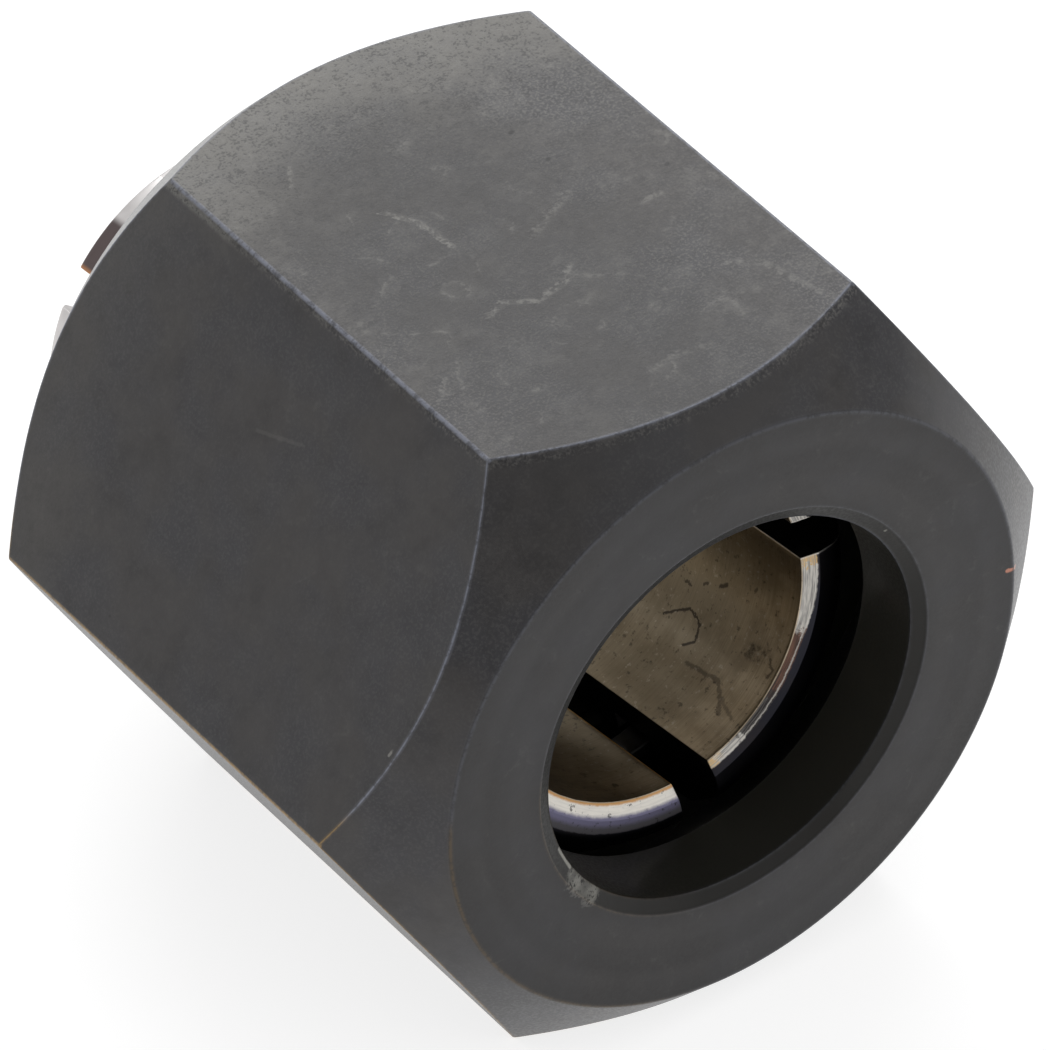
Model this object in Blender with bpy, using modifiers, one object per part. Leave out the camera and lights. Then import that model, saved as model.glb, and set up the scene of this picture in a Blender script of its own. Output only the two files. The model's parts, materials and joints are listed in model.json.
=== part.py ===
"""Router collet: a hexagonal clamping nut with a slit collet held loosely inside it.

The nut lies on one of its flats, its axis along Y and its mouth facing -Y. The origin is the middle of
the flat it lies on. Lengths are in metres, angles in radians. A distance along the nut is counted from
its mouth face, and one along the collet from the middle plane of its retaining ring.
"""
import math

import bmesh
import bpy
from mathutils import Matrix, Vector

MM = 0.001

# Nut, outside
ACROSS_FLATS = 17.0 * MM
NUT_LENGTH = 16.2 * MM
END_FACE_INSET = 0.8 * MM
END_CHAMFER_SLOPE = math.tan(math.radians(44.0))
LONG_EDGE_BEVEL = 0.08 * MM

# Nut, inside, from the mouth to the rear. A wall is counted from the flats.
MOUTH_MARGIN = 0.82 * MM
MOUTH_BEVEL_WIDTH = 0.36 * MM
MOUTH_BEVEL_DEPTH = 0.18 * MM
LIP_DEPTH = 1.94 * MM
CHAMBER_WALL = 1.0 * MM
THREAD_WALL = 1.9 * MM
THREAD_LENGTH = 4.0 * MM
THREAD_EDGE_BREAK = 0.25 * MM
REAR_BORE_WALL = 1.4 * MM
REAR_EDGE_BREAK = 0.2 * MM

# Retaining ring
RING_THICKNESS = 0.8 * MM
RING_WIDTH = 1.75 * MM
RING_GAP = 2.6 * MM
RING_GAP_ANGLE = math.radians(127.0)
RING_EDGE_BREAK = 0.08 * MM

# Collet
GROOVE_WALL = 0.73 * MM
BORE_ENTRY_WIDTH = 0.4 * MM
BORE_ENTRY_DEPTH = 0.16 * MM
FRONT_WALL = 0.5 * MM
FRONT_ROUNDING = 0.5 * MM
HEAD_LAND = 1.14 * MM
TAPER_LENGTH = 13.4 * MM
TAPER_HALF_ANGLE = math.radians(2.0)
TAIL_WALL = 0.77 * MM
TAIL_EDGE_BREAK = 0.3 * MM
TAIL_BORE_EDGE_BREAK = 0.15 * MM
SLIT_COUNT = 4
SLIT_WIDTH = 1.0 * MM
FRONT_SLIT_END = 10.6 * MM
REAR_SLIT_START = 3.9 * MM
FIRST_SLIT_ANGLE = math.radians(-7.6)

# How the collet and its ring lie in the nut
COLLET_LEAN = math.radians(7.5)
RING_DROP = 0.3 * MM
RING_TRAVEL_CLEARANCE = 0.3 * MM
GROOVE_CLEARANCE = 0.3 * MM
HEAD_PASSAGE_CLEARANCE = 0.5 * MM
PRESS_CLEARANCE = 0.4 * MM

# Fineness of the turned surfaces
TURN_STEPS = 96
ROUNDING_STEPS = 4
CUT_MARGIN = 1.0 * MM
MERGE_DISTANCE = 1e-6

# Radii that follow from the flats inwards
AXIS_HEIGHT = ACROSS_FLATS / 2
CORNER_RADIUS = ACROSS_FLATS / math.sqrt(3)
END_FACE_RADIUS = AXIS_HEIGHT - END_FACE_INSET
CHAMBER_RADIUS = AXIS_HEIGHT - CHAMBER_WALL
REAR_BORE_RADIUS = AXIS_HEIGHT - REAR_BORE_WALL
THREAD_CREST_RADIUS = AXIS_HEIGHT - THREAD_WALL
RING_OUTER_RADIUS = CHAMBER_RADIUS - RING_DROP - RING_TRAVEL_CLEARANCE
RING_INNER_RADIUS = RING_OUTER_RADIUS - RING_WIDTH
GROOVE_FLOOR_RADIUS = RING_INNER_RADIUS - GROOVE_CLEARANCE
BORE_RADIUS = GROOVE_FLOOR_RADIUS - GROOVE_WALL
HEAD_RADIUS = THREAD_CREST_RADIUS - HEAD_PASSAGE_CLEARANCE
FRONT_FACE_RADIUS = BORE_RADIUS + FRONT_WALL
ROUNDED_RADIUS = FRONT_FACE_RADIUS + FRONT_ROUNDING
TAPER_END_RADIUS = BORE_RADIUS + TAIL_WALL
TAPER_START_RADIUS = TAPER_END_RADIUS + TAPER_LENGTH * math.tan(TAPER_HALF_ANGLE)
MOUTH_RADIUS = BORE_RADIUS + MOUTH_MARGIN

# Places along the collet, from the middle plane of the ring
GROOVE_HALF = RING_THICKNESS / 2 + GROOVE_CLEARANCE
SHOULDER = -GROOVE_HALF - HEAD_LAND
COLLET_FRONT = SHOULDER - (HEAD_RADIUS - ROUNDED_RADIUS) - FRONT_ROUNDING
COLLET_REAR = GROOVE_HALF + TAPER_LENGTH

# Places along the nut, from its mouth face. The leaning head stays clear of the cone that presses on it.
HEAD_FORWARD_REACH = HEAD_RADIUS * math.sin(COLLET_LEAN) - SHOULDER * math.cos(COLLET_LEAN)
HEAD_OUTWARD_REACH = RING_DROP + HEAD_RADIUS * math.cos(COLLET_LEAN) + SHOULDER * math.sin(COLLET_LEAN)
PRESS_CONE_REACH = HEAD_OUTWARD_REACH - MOUTH_RADIUS + PRESS_CLEARANCE * math.sqrt(2)
PRESS_CONE_END = LIP_DEPTH + CHAMBER_RADIUS - MOUTH_RADIUS
RING_DEPTH = LIP_DEPTH + PRESS_CONE_REACH + HEAD_FORWARD_REACH
RING_REACH = RING_OUTER_RADIUS * math.sin(COLLET_LEAN) + RING_THICKNESS / 2 * math.cos(COLLET_LEAN)
CHAMBER_END = RING_DEPTH + RING_REACH + RING_TRAVEL_CLEARANCE
THREAD_END = CHAMBER_END + THREAD_LENGTH


def clear_scene() -> None:
    """Removes whatever the scene holds."""
    for obj in list(bpy.data.objects):
        bpy.data.objects.remove(obj, do_unlink=True)


def make_collection(name: str) -> bpy.types.Collection:
    """Returns a new collection linked to the scene."""
    collection = bpy.data.collections.new(name)
    bpy.context.scene.collection.children.link(collection)
    return collection


def make_material(name: str, colour: tuple, roughness: float, metallic: float) -> bpy.types.Material:
    """Returns a Principled material."""
    material = bpy.data.materials.new(name)
    material.use_nodes = True
    shader = material.node_tree.nodes["Principled BSDF"]
    shader.inputs["Base Color"].default_value = (*colour, 1.0)
    shader.inputs["Roughness"].default_value = roughness
    shader.inputs["Metallic"].default_value = metallic
    return material


def add_object(name: str, mesh: bpy.types.Mesh, collection: bpy.types.Collection,
               parent: bpy.types.Object) -> bpy.types.Object:
    """Links a mesh as a named object under its parent."""
    obj = bpy.data.objects.new(name, mesh)
    collection.objects.link(obj)
    obj.parent = parent
    return obj


def turned(name: str, outline: list, collection: bpy.types.Collection,
           parent: bpy.types.Object) -> bpy.types.Object:
    """Turns a closed outline of (radius, height) points about the local Z axis.

    The outline runs down the outer side, from the top to the bottom, and back up the inner side.
    """
    mesh = bpy.data.meshes.new(name)
    count = len(outline)
    vertices = [(radius, 0.0, height) for radius, height in outline]
    mesh.from_pydata(vertices, [(i, (i + 1) % count) for i in range(count)], [])
    obj = add_object(name, mesh, collection, parent)
    screw = obj.modifiers.new("turn", "SCREW")
    screw.axis = "Z"
    screw.angle = 2 * math.pi
    screw.steps = TURN_STEPS
    screw.render_steps = TURN_STEPS
    screw.use_merge_vertices = True
    screw.merge_threshold = MERGE_DISTANCE
    screw.use_smooth_shade = True
    return obj


def cutter_box(name: str, size: tuple, matrix: Matrix, collection: bpy.types.Collection,
               parent: bpy.types.Object) -> bpy.types.Object:
    """Returns a box of the given size, placed by the matrix and kept for cutting only."""
    mesh = bpy.data.meshes.new(name)
    shape = bmesh.new()
    bmesh.ops.create_cube(shape, size=1.0, matrix=matrix @ Matrix.Diagonal((*size, 1.0)))
    shape.to_mesh(mesh)
    shape.free()
    obj = add_object(name, mesh, collection, parent)
    hide_guide(obj)
    return obj


def hide_guide(obj: bpy.types.Object) -> None:
    """Marks an object as a guide that isn't part of the product."""
    obj.hide_render = True
    obj.display_type = "WIRE"


def boolean(obj: bpy.types.Object, other: bpy.types.Object, operation: str) -> None:
    """Adds an exact boolean modifier."""
    modifier = obj.modifiers.new(other.name, "BOOLEAN")
    modifier.object = other
    modifier.operation = operation
    modifier.solver = "EXACT"


def nut_outline() -> list:
    """Outline of the nut as turned, before its flats are milled."""
    beyond_corner = CORNER_RADIUS + CUT_MARGIN
    chamfer_depth = (beyond_corner - END_FACE_RADIUS) * END_CHAMFER_SLOPE
    rear_step = REAR_BORE_RADIUS - THREAD_CREST_RADIUS
    return [
        (END_FACE_RADIUS, NUT_LENGTH),
        (beyond_corner, NUT_LENGTH - chamfer_depth),
        (beyond_corner, chamfer_depth),
        (END_FACE_RADIUS, 0.0),
        (MOUTH_RADIUS + MOUTH_BEVEL_WIDTH, 0.0),
        (MOUTH_RADIUS, MOUTH_BEVEL_DEPTH),
        (MOUTH_RADIUS, LIP_DEPTH),
        (CHAMBER_RADIUS, PRESS_CONE_END),
        (CHAMBER_RADIUS, CHAMBER_END),
        (THREAD_CREST_RADIUS + THREAD_EDGE_BREAK, CHAMBER_END),
        (THREAD_CREST_RADIUS, CHAMBER_END + THREAD_EDGE_BREAK),
        (THREAD_CREST_RADIUS, THREAD_END - rear_step),
        (REAR_BORE_RADIUS, THREAD_END),
        (REAR_BORE_RADIUS, NUT_LENGTH - REAR_EDGE_BREAK),
        (REAR_BORE_RADIUS + REAR_EDGE_BREAK, NUT_LENGTH),
    ]


def hexagon_bar(collection: bpy.types.Collection, parent: bpy.types.Object) -> bpy.types.Object:
    """Returns the hexagonal bar that the nut's flats come from, with its long edges broken."""
    mesh = bpy.data.meshes.new("hexagon_bar")
    shape = bmesh.new()
    bar_length = NUT_LENGTH + 4 * CUT_MARGIN
    bmesh.ops.create_cone(shape, cap_ends=True, segments=6, radius1=CORNER_RADIUS, radius2=CORNER_RADIUS,
                          depth=bar_length)
    corner_to_side = Matrix.Rotation(math.radians(30.0), 4, "Z")
    bmesh.ops.transform(shape, matrix=Matrix.Translation((0, 0, NUT_LENGTH / 2)) @ corner_to_side,
                        verts=shape.verts)
    shape.to_mesh(mesh)
    shape.free()
    obj = add_object("hexagon_bar", mesh, collection, parent)
    edges = obj.modifiers.new("long_edges", "BEVEL")
    edges.width = LONG_EDGE_BEVEL
    edges.segments = 2
    edges.limit_method = "ANGLE"
    hide_guide(obj)
    return obj


def build_nut(parts: bpy.types.Collection, guides: bpy.types.Collection,
              parent: bpy.types.Object) -> bpy.types.Object:
    """The nut: turned inside and out, then cut to its six flats."""
    nut = turned("collet_nut", nut_outline(), parts, parent)
    boolean(nut, hexagon_bar(guides, parent), "INTERSECT")
    nut.data.materials.append(make_material("black_oxide", (0.065, 0.065, 0.068), 0.55, 0.6))
    return nut


def build_ring(parts: bpy.types.Collection, guides: bpy.types.Collection,
               parent: bpy.types.Object) -> bpy.types.Object:
    """The flat split ring that sits in the collet's groove and is caught by the nut's thread."""
    half = RING_THICKNESS / 2
    outline = [
        (RING_INNER_RADIUS + RING_EDGE_BREAK, half),
        (RING_OUTER_RADIUS - RING_EDGE_BREAK, half),
        (RING_OUTER_RADIUS, half - RING_EDGE_BREAK),
        (RING_OUTER_RADIUS, -half + RING_EDGE_BREAK),
        (RING_OUTER_RADIUS - RING_EDGE_BREAK, -half),
        (RING_INNER_RADIUS + RING_EDGE_BREAK, -half),
        (RING_INNER_RADIUS, -half + RING_EDGE_BREAK),
        (RING_INNER_RADIUS, half - RING_EDGE_BREAK),
    ]
    ring = turned("retaining_ring", outline, parts, parent)
    reach = RING_OUTER_RADIUS + CUT_MARGIN
    place = Matrix.Rotation(RING_GAP_ANGLE, 4, "Z") @ Matrix.Translation((reach / 2, 0, 0))
    gap = cutter_box("ring_gap", (reach, RING_GAP, RING_THICKNESS + 2 * CUT_MARGIN), place, guides, parent)
    boolean(ring, gap, "DIFFERENCE")
    ring.data.materials.append(make_material("spring_steel", (0.30, 0.29, 0.28), 0.35, 1.0))
    return ring


def front_rounding() -> list:
    """Points of the round edge at the collet's front, from the head side to the face."""
    centre = Vector((FRONT_FACE_RADIUS, COLLET_FRONT + FRONT_ROUNDING))
    points = []
    for step in range(ROUNDING_STEPS + 1):
        angle = -math.pi / 2 * step / ROUNDING_STEPS
        radius = centre.x + FRONT_ROUNDING * math.cos(angle)
        points.append((radius, centre.y + FRONT_ROUNDING * math.sin(angle)))
    return points


def collet_outline() -> list:
    """Outline of the collet as turned, before it is slit."""
    return [
        (TAPER_END_RADIUS - TAIL_EDGE_BREAK, COLLET_REAR),
        (TAPER_END_RADIUS, COLLET_REAR - TAIL_EDGE_BREAK),
        (TAPER_START_RADIUS, GROOVE_HALF),
        (GROOVE_FLOOR_RADIUS, GROOVE_HALF),
        (GROOVE_FLOOR_RADIUS, -GROOVE_HALF),
        (HEAD_RADIUS, -GROOVE_HALF),
        (HEAD_RADIUS, SHOULDER),
        *front_rounding(),
        (BORE_RADIUS + BORE_ENTRY_WIDTH, COLLET_FRONT),
        (BORE_RADIUS, COLLET_FRONT + BORE_ENTRY_DEPTH),
        (BORE_RADIUS, COLLET_REAR - TAIL_BORE_EDGE_BREAK),
        (BORE_RADIUS + TAIL_BORE_EDGE_BREAK, COLLET_REAR),
    ]


def slit_cutter(name: str, low: float, high: float, first_angle: float, guides: bpy.types.Collection,
                parent: bpy.types.Object) -> bpy.types.Object:
    """Returns one mesh of separate blades, each cutting one side of the collet between two heights."""
    mesh = bpy.data.meshes.new(name)
    shape = bmesh.new()
    reach = HEAD_RADIUS + CUT_MARGIN
    inner = BORE_RADIUS / 2
    size = Matrix.Diagonal((reach - inner, SLIT_WIDTH, high - low, 1.0))
    for index in range(SLIT_COUNT):
        turn = Matrix.Rotation(first_angle + 2 * math.pi * index / SLIT_COUNT, 4, "Z")
        place = turn @ Matrix.Translation(((reach + inner) / 2, 0, (low + high) / 2))
        bmesh.ops.create_cube(shape, size=1.0, matrix=place @ size)
    shape.to_mesh(mesh)
    shape.free()
    obj = add_object(name, mesh, guides, parent)
    hide_guide(obj)
    return obj


def build_collet(parts: bpy.types.Collection, guides: bpy.types.Collection,
                 parent: bpy.types.Object) -> bpy.types.Object:
    """The collet: a turned sleeve, slit from its front and, half a pitch round, from its rear."""
    collet = turned("collet", collet_outline(), parts, parent)
    half_pitch = math.pi / SLIT_COUNT
    front = slit_cutter("front_slits", COLLET_FRONT - CUT_MARGIN, FRONT_SLIT_END, FIRST_SLIT_ANGLE, guides,
                        parent)
    rear = slit_cutter("rear_slits", REAR_SLIT_START, COLLET_REAR + CUT_MARGIN, FIRST_SLIT_ANGLE + half_pitch,
                       guides, parent)
    boolean(collet, front, "DIFFERENCE")
    boolean(collet, rear, "DIFFERENCE")
    collet.data.materials.append(make_material("ground_steel", (0.42, 0.38, 0.33), 0.3, 1.0))
    return collet


def make_empty(name: str, location: tuple, rotation_x: float, collection: bpy.types.Collection,
               parent: bpy.types.Object | None = None) -> bpy.types.Object:
    """Returns an empty that carries pieces whose own axis is its local Z."""
    empty = bpy.data.objects.new(name, None)
    empty.location = location
    empty.rotation_euler = (rotation_x, 0.0, 0.0)
    empty.parent = parent
    collection.objects.link(empty)
    return empty


def main() -> None:
    """Builds the nut, its ring and the collet."""
    clear_scene()
    parts = make_collection("router_collet")
    guides = make_collection("guides")
    along_y = -math.pi / 2
    nut_axis = make_empty("nut_axis", (0.0, -NUT_LENGTH / 2, AXIS_HEIGHT), along_y, parts)
    pivot = (0.0, RING_DEPTH - NUT_LENGTH / 2, AXIS_HEIGHT - RING_DROP)
    collet_axis = make_empty("collet_axis", pivot, along_y - COLLET_LEAN, parts)
    build_nut(parts, guides, nut_axis)
    build_ring(parts, guides, collet_axis)
    build_collet(parts, guides, collet_axis)


if __name__ == "__main__":
    main()
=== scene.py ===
"""Looks of a router collet: a black clamping nut, its thread, its retaining ring and the slit collet inside.

The nut lies on a flat with its axis along Y and its mouth facing -Y. Lengths are in metres and angles in
radians. An angle round an axis is counted from +X toward +Z, as seen from the mouth. Materials work in
millimetres on Object coordinates.
"""
import json
import logging
import math
from dataclasses import dataclass
from enum import Enum
from functools import partial, reduce

import bmesh
import bpy
from mathutils import Matrix, Vector, noise

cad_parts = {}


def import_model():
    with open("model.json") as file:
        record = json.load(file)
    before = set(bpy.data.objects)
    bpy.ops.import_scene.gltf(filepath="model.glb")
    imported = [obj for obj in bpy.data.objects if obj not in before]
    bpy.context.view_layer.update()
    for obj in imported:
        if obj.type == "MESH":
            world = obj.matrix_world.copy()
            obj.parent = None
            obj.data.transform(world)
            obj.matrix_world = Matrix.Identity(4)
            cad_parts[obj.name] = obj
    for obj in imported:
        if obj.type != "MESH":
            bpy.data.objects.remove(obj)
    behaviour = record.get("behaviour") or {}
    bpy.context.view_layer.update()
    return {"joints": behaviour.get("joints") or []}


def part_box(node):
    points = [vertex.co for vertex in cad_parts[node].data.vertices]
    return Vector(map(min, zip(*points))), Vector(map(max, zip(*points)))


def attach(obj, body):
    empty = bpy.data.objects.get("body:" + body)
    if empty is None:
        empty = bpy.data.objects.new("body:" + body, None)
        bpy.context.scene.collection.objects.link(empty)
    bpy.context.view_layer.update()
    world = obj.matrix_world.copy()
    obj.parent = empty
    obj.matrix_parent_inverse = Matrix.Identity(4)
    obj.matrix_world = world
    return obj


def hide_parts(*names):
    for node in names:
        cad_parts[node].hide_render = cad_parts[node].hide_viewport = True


MM = 0.001
# Name of the attribute that marks rubbed edges, which also carry a painted sheen.
DOUBLES = 1e-4 * MM
WEAR_AND_SHEEN = "edge_wear_and_sheen"
LOG = logging.getLogger("router_collet")
Socket = bpy.types.NodeSocket


class Slot(Enum):
    """Finishes that the record names."""

    BLACK_OXIDE = "black_oxide"
    SPRING_STEEL = "spring_steel"
    GROUND_STEEL = "ground_steel"


class Body(Enum):
    """Bodies that pieces ride on."""

    NUT = "nut"
    RING = "ring"
    COLLET = "collet"


@dataclass(frozen=True)
class TurningAxis:
    """An axis that a turned piece is made about.

    Attributes:
        origin: where distances along the axis are counted from.
        forward: unit vector along the axis, toward the nut's rear.
    """

    origin: Vector
    forward: Vector

    @property
    def side(self) -> Vector:
        """Unit vector at angle zero."""
        return Vector((1.0, 0.0, 0.0))

    @property
    def up(self) -> Vector:
        """Unit vector at a quarter turn."""
        return self.side.cross(self.forward)

    def point(self, radius: float, angle: float, along: float) -> Vector:
        """Returns the place at a distance from the axis, an angle round it and a distance along it."""
        across = self.side * math.cos(angle) + self.up * math.sin(angle)
        return self.origin + across * radius + self.forward * along

    def matrix(self) -> Matrix:
        """Returns the placement whose local Z is the axis and whose local X is the side vector."""
        turn = Matrix((self.side, -self.up, self.forward)).transposed().to_4x4()
        return Matrix.Translation(self.origin) @ turn


@dataclass(frozen=True)
class Measures:
    """Sizes shared by the pieces, chained from the flats inwards.

    Attributes:
        across_flats: width of the hexagon, from the frame.
        nut_length: length of the nut, from the frame.
        ring_outer: outer radius of the retaining ring, from the frame.
        head_radius: radius of the collet's head, from the frame.
        pivot: middle of the retaining ring, from the frame.
        collet_axis: direction of the collet's axis toward its tail, from the frame.
    """

    across_flats: float
    nut_length: float
    ring_outer: float
    head_radius: float
    pivot: Vector
    collet_axis: Vector
    end_face_inset: float = 0.8 * MM
    chamfer_slope: float = math.tan(math.radians(44.0))
    chamber_wall: float = 1.0 * MM
    thread_wall: float = 1.9 * MM
    rear_bore_wall: float = 1.4 * MM
    ring_width: float = 1.75 * MM
    ring_thickness: float = 0.8 * MM
    groove_clearance: float = 0.3 * MM
    groove_wall: float = 0.73 * MM
    mouth_margin: float = 0.82 * MM
    mouth_bevel: float = 0.36 * MM
    lip_depth: float = 1.94 * MM
    chamber_end: float = 7.891 * MM
    thread_length: float = 4.0 * MM

    @classmethod
    def from_frame(cls, joints: list) -> "Measures":
        """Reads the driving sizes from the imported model.

        Args:
            joints: the frame's joints.

        Returns:
            The shared sizes.
        """
        nut_low, nut_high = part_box("collet_nut")
        ring_low, ring_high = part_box("retaining_ring")
        collet_low, collet_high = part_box("collet")
        turn = next(joint for joint in joints if joint["name"] == "collet_turn")
        return cls(
            across_flats=nut_high.z - nut_low.z,
            nut_length=nut_high.y - nut_low.y,
            ring_outer=(ring_high.x - ring_low.x) / 2,
            head_radius=(collet_high.x - collet_low.x) / 2,
            pivot=Vector(turn["pos_m"]),
            collet_axis=Vector(turn["axis"]).normalized(),
        )

    @property
    def axis_height(self) -> float:
        """Height of the nut's axis above the flat it lies on."""
        return self.across_flats / 2

    @property
    def end_face_radius(self) -> float:
        """Radius of the flat end faces."""
        return self.axis_height - self.end_face_inset

    @property
    def ring_inner(self) -> float:
        """Inner radius of the retaining ring."""
        return self.ring_outer - self.ring_width

    @property
    def groove_floor(self) -> float:
        """Radius of the floor of the collet's groove."""
        return self.ring_inner - self.groove_clearance

    @property
    def bore(self) -> float:
        """Radius of the collet's bore."""
        return self.groove_floor - self.groove_wall

    @property
    def mouth(self) -> float:
        """Radius of the nut's mouth."""
        return self.bore + self.mouth_margin

    @property
    def nut(self) -> TurningAxis:
        """Axis of the nut, counted from its mouth face."""
        return TurningAxis(Vector((0.0, -self.nut_length / 2, self.axis_height)), Vector((0.0, 1.0, 0.0)))

    @property
    def collet(self) -> TurningAxis:
        """Axis of the collet and its ring, counted from the ring's middle plane."""
        return TurningAxis(self.pivot, self.collet_axis)


@dataclass(frozen=True)
class Corner:
    """A corner of a turned section.

    Attributes:
        radius: distance from the axis.
        along: distance along the axis.
        fillet: radius of the rounding, zero for a sharp corner.
        steps: facets of the rounding.
        wear_and_sheen: how rubbed the rounding is and how much painted sheen it shows, from zero to one.
        cells: rows of faces on the straight that follows.
        milled: whether the straight that follows is a flat, whose long edges are rubbed and show painted sheen too.
    """

    radius: float
    along: float
    fillet: float = 0.0
    steps: int = 3
    wear_and_sheen: float = 0.0
    cells: int = 1
    milled: bool = False


@dataclass(frozen=True)
class SectionPoint:
    """A point of a finished section with the values its vertices carry."""

    radius: float
    along: float
    wear_and_sheen: float
    milled: bool


@dataclass(frozen=True)
class Section:
    """A closed section of corners, rounded and divided into rows.

    Attributes:
        corners: the corners in order round the section.
        support: distance of a guard row from each rounding, which keeps the straights flat.
    """

    corners: tuple
    support: float = 0.05 * MM

    def arc(self, index: int) -> list:
        """Rounds one corner.

        Args:
            index: number of the corner.

        Returns:
            The points in order, one alone for a sharp corner.
        """
        count = len(self.corners)
        corner = self.corners[index]
        here = Vector((corner.radius, corner.along))
        if corner.fillet == 0.0:
            return [here]
        before = self.corners[index - 1]
        after = self.corners[(index + 1) % count]
        back = (Vector((before.radius, before.along)) - here).normalized()
        on = (Vector((after.radius, after.along)) - here).normalized()
        half = back.angle(on) / 2
        centre = here + (back + on).normalized() * corner.fillet / math.sin(half)
        start = here + back * corner.fillet / math.tan(half) - centre
        end = here + on * corner.fillet / math.tan(half) - centre
        sweep = start.angle(end)
        points = []
        for step in range(corner.steps + 1):
            share = step / corner.steps
            from_start = start * math.sin((1 - share) * sweep)
            from_end = end * math.sin(share * sweep)
            points.append(centre + (from_start + from_end) / math.sin(sweep))
        return points

    def points(self) -> list:
        """Rounds every corner and divides the straights between them.

        Returns:
            The section's points in order.
        """
        arcs = [self.arc(index) for index in range(len(self.corners))]
        found = []
        for index, arc in enumerate(arcs):
            corner = self.corners[index]
            following = arcs[(index + 1) % len(arcs)][0]
            for step, place in enumerate(arc):
                wear_and_sheen = corner.wear_and_sheen * math.sin(math.pi * (step + 0.5) / len(arc))
                found.append(SectionPoint(place.x, place.y, wear_and_sheen, corner.milled))
            start = arc[-1]
            span = following - start
            guard = self.support / max(span.length, self.support * 4)
            shares = [share / corner.cells for share in range(1, corner.cells)]
            if corner.cells > 1:
                shares = [guard, *shares, 1 - guard]
            for share in sorted(shares):
                place = start + span * share
                found.append(SectionPoint(place.x, place.y, 0.0, corner.milled))
        return found


class Workshop:
    """Makes objects from meshes and finishes them."""

    @staticmethod
    def add(name: str, data: bpy.types.ID) -> bpy.types.Object:
        """Links a mesh, a light or a camera as an object at the origin.

        Args:
            name: name of the object.
            data: what it shows.

        Returns:
            The new object.
        """
        obj = bpy.data.objects.new(name, data)
        bpy.context.scene.collection.objects.link(obj)
        return obj

    @classmethod
    def cast(cls, name: str, shape: bmesh.types.BMesh) -> bpy.types.Object:
        """Makes an object of a shape.

        Args:
            name: name of the object.
            shape: its shape, which is used up.

        Returns:
            The new object.
        """
        mesh = bpy.data.meshes.new(name)
        shape.to_mesh(mesh)
        shape.free()
        return cls.add(name, mesh)

    @staticmethod
    def settle(obj: bpy.types.Object) -> bpy.types.Object:
        """Turns an object with modifiers into a plain mesh.

        Args:
            obj: the object, whose modifiers are removed.

        Returns:
            The same object.
        """
        graph = bpy.context.evaluated_depsgraph_get()
        mesh = bpy.data.meshes.new_from_object(obj.evaluated_get(graph), depsgraph=graph)
        mesh.name = obj.name
        obj.modifiers.clear()
        obj.data = mesh
        return obj

    @staticmethod
    def paint(obj: bpy.types.Object, finish: "Finish") -> None:
        """Gives an object one finish alone."""
        obj.data.materials.clear()
        obj.data.materials.append(finish.material)

    @staticmethod
    def close(shape: bmesh.types.BMesh) -> None:
        """Merges the doubles of a closed shape and turns its faces outwards."""
        bmesh.ops.remove_doubles(shape, verts=shape.verts, dist=DOUBLES)
        bmesh.ops.recalc_face_normals(shape, faces=shape.faces)

    @staticmethod
    def report(obj: bpy.types.Object) -> None:
        """Logs a piece's name and its number of triangles."""
        obj.data.calc_loop_triangles()
        LOG.info("%s: %d triangles", obj.name, len(obj.data.loop_triangles))


@dataclass(frozen=True)
class Mark:
    """A line drawn through listed points on a surface, in millimetres.

    Attributes:
        points: places that it passes, in the surface's own coordinates.
        width: half width.
        strength: how plainly it shows, from zero to one.
    """

    points: tuple
    width: float = 0.045
    strength: float = 1.0


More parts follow.
